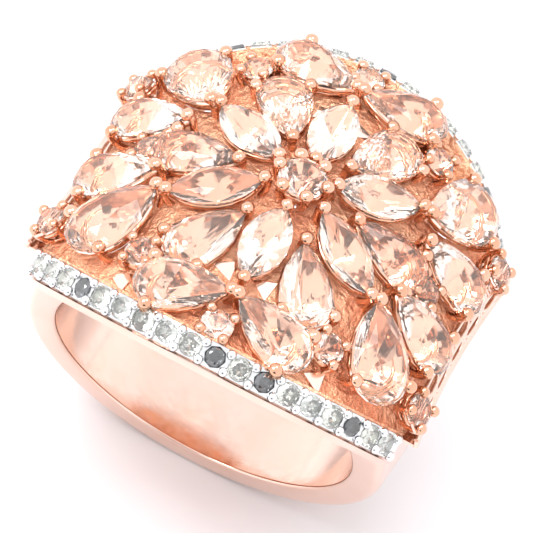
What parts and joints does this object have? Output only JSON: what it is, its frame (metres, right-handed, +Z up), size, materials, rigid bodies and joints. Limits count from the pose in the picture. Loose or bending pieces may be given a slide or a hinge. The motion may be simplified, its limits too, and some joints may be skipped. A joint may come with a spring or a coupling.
{
  "type": "cocktail ring",
  "caption": "Domed cocktail ring: a tapering rose-gold band, a pierced head with claw-set pear, marquise and round peach stones in a flower layout, and two white stone-set rails.",
  "frame": {"origin": "middle of the finger hole, on its axis, half way across the band", "axes": "+Y along the finger from the front rail to the back rail, +Z up through the head, +X to the right across the head"},
  "size_m": [0.0234, 0.0234, 0.0227],
  "materials": {
    "rose_gold": "polished rose-gold plate over silver",
    "rose_gold_inner": "rose-gold plate, textured and deeper in colour between the stones",
    "rhodium": "bright white rhodium plate",
    "morganite": "clear pale peach faceted stone",
    "diamond": "clear white faceted stone, faintly green",
    "grey_stone": "dark grey faceted stone"
  },
  "bodies": {
    "root": {"shank": "rose_gold", "under_gallery": "rose_gold_inner", "head_lattice": "rose_gold_inner", "side_gallery_left": "rose_gold", "side_gallery_right": "rose_gold", "rail_front": "rhodium", "rail_back": "rhodium", "border_front": "rose_gold_inner", "border_back": "rose_gold_inner", "rail_beads_front": "rhodium", "rail_beads_back": "rhodium", "rail_diamonds_front": "diamond", "rail_diamonds_back": "diamond", "rail_grey_stones_front": "grey_stone", "rail_grey_stones_back": "grey_stone", "centre_setting": "rose_gold", "marquise_settings": "rose_gold", "inner_pear_settings": "rose_gold", "outer_pear_settings": "rose_gold", "corner_pear_settings": "rose_gold", "side_pear_settings": "rose_gold", "round_settings": "rose_gold", "centre_stone": "morganite", "marquise_1": "morganite", "marquise_2": "morganite", "marquise_3": "morganite", "marquise_4": "morganite", "marquise_5": "morganite", "marquise_6": "morganite", "inner_pear_1": "morganite", "inner_pear_2": "morganite", "inner_pear_3": "morganite", "inner_pear_4": "morganite", "inner_pear_5": "morganite", "inner_pear_6": "morganite", "outer_pear_1": "morganite", "outer_pear_2": "morganite", "outer_pear_3": "morganite", "outer_pear_4": "morganite", "corner_pear_1": "morganite", "corner_pear_2": "morganite", "corner_pear_3": "morganite", "corner_pear_4": "morganite", "side_pear_1": "morganite", "side_pear_2": "morganite", "side_pear_3": "morganite", "side_pear_4": "morganite", "small_round_1": "morganite", "small_round_2": "morganite", "small_round_3": "morganite", "small_round_4": "morganite", "small_round_5": "morganite", "small_round_6": "morganite", "small_round_7": "morganite", "small_round_8": "morganite", "small_round_9": "morganite", "small_round_10": "morganite", "small_round_11": "morganite", "small_round_12": "morganite"}
  },
  "joints": []
}
